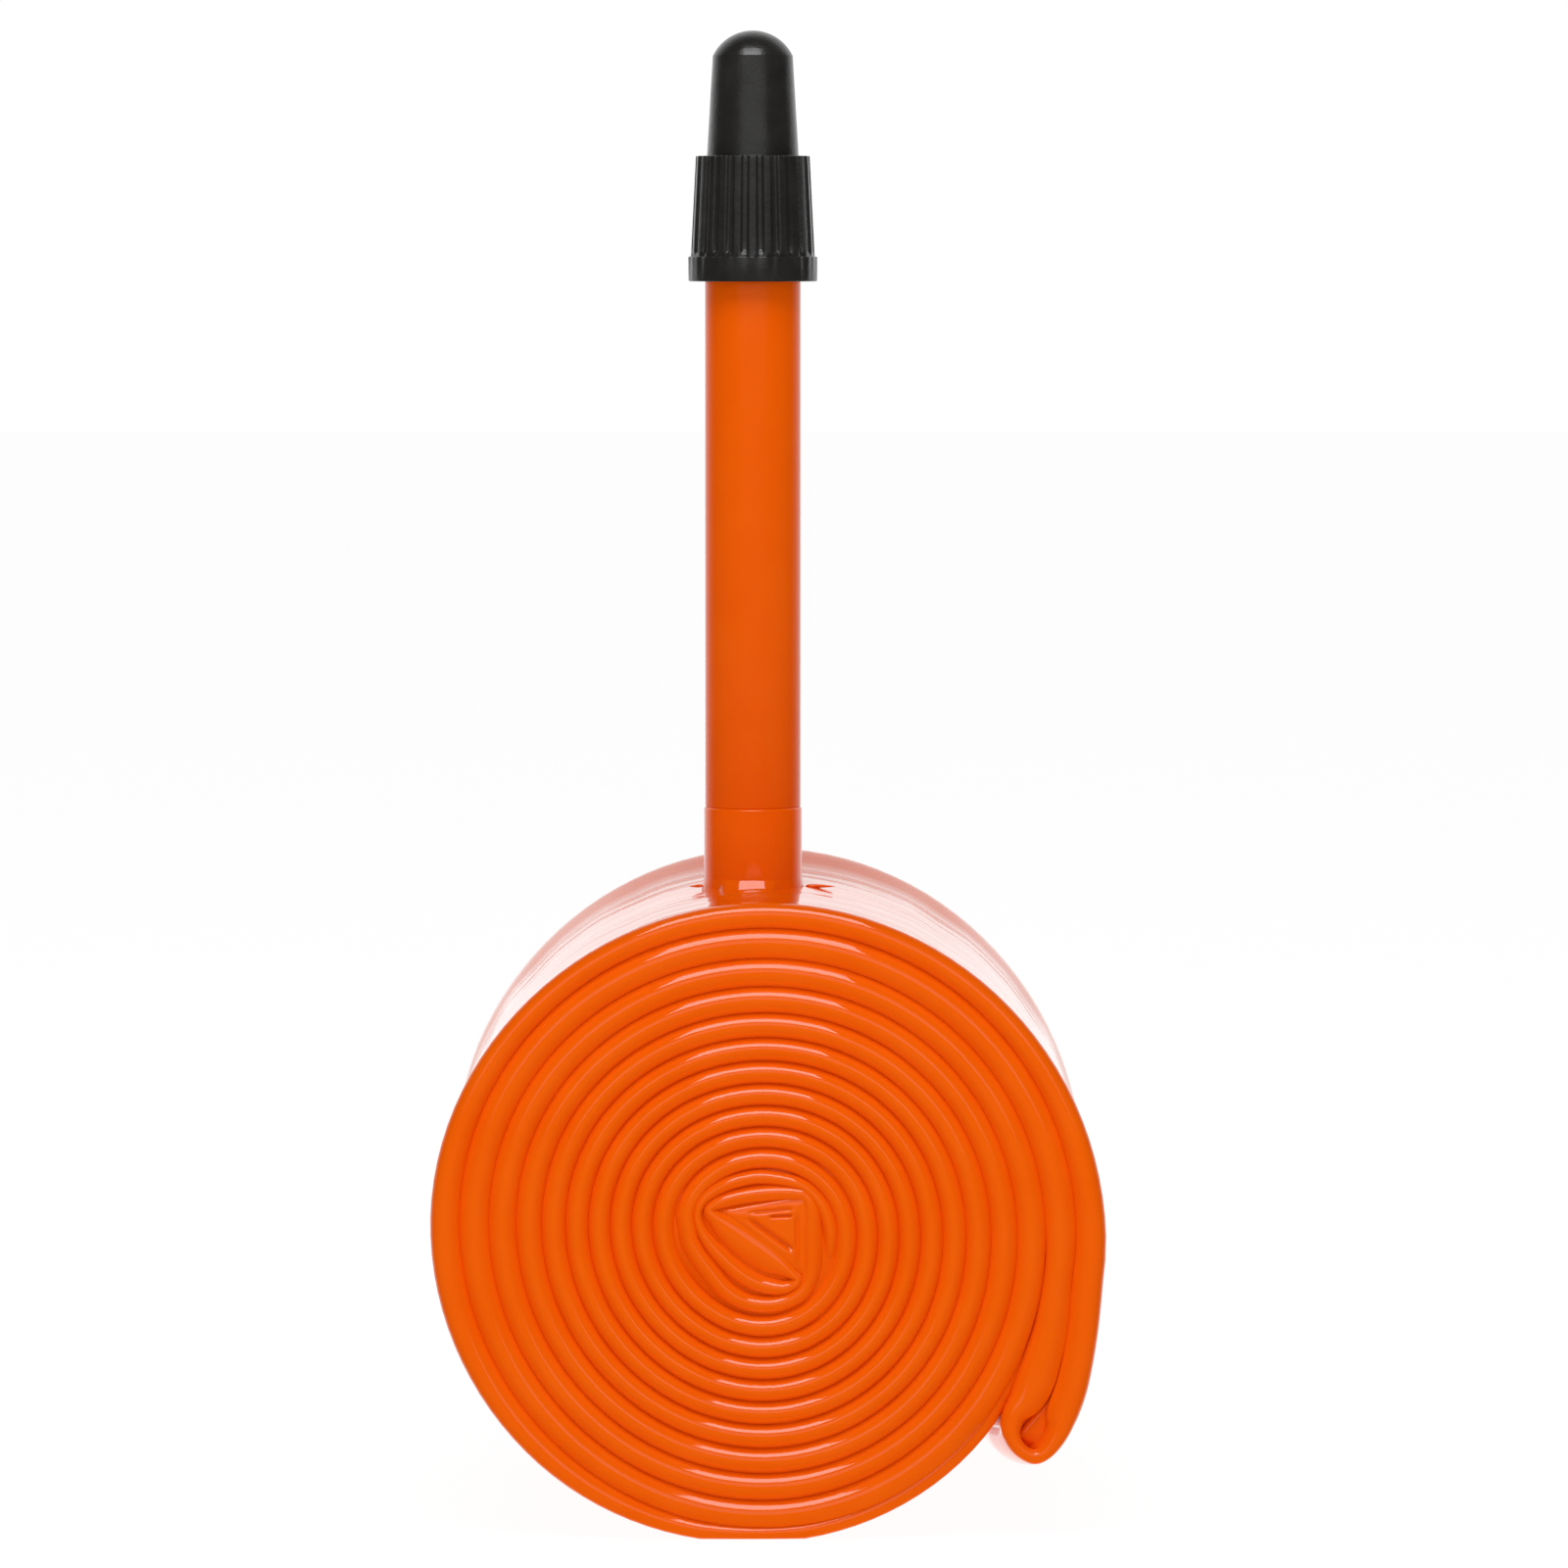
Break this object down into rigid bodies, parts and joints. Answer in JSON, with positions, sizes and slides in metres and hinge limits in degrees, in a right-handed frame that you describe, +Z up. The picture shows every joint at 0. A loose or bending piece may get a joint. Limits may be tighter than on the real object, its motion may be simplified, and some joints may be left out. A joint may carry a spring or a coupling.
{
  "type": "inner tube",
  "caption": "Thermoplastic bicycle inner tube, flattened and rolled up, with a smooth plastic valve stem, a slim screw-in valve core and a ribbed black cap.",
  "frame": {"origin": "on the floor beneath the valve stem's axis, halfway along the roll, in the flat that the roll rests on", "axes": "+Z up along the valve stem, Y along the roll's axis with the spiral end face towards -Y, +X towards the side with the fold"},
  "size_m": [0.0409, 0.04, 0.0919],
  "materials": {
    "hose_film": "gloss",
    "stem_plastic": "satin",
    "cap_plastic": "satin",
    "core_metal": "satin",
    "seal_rubber": "matte"
  },
  "bodies": {
    "tube": {"hose": "hose_film", "valve_base": "hose_film", "valve_stem": "stem_plastic"},
    "cap": {"valve_cap": "cap_plastic"},
    "core": {"core_body": "core_metal", "core_gasket": "seal_rubber"},
    "pin": {"valve_pin": "core_metal", "pin_seal": "seal_rubber"},
    "nut": {"lock_nut": "core_metal"}
  },
  "joints": [
    {"name": "cap_lift", "type": "slide", "parent": "tube", "child": "cap", "axis": [0, 0, 1], "range_m": [0, 0.018]},
    {"name": "core_turn", "type": "hinge", "parent": "tube", "child": "core", "pos_m": [0, 0, 0.0785], "axis": [0, 0, 1], "continuous": true},
    {"name": "pin_press", "type": "slide", "parent": "core", "child": "pin", "axis": [0, 0, -1], "range_m": [0, 0.002]},
    {"name": "nut_turn", "type": "hinge", "parent": "pin", "child": "nut", "pos_m": [0, 0, 0.0872], "axis": [0, 0, 1], "continuous": true}
  ]
}
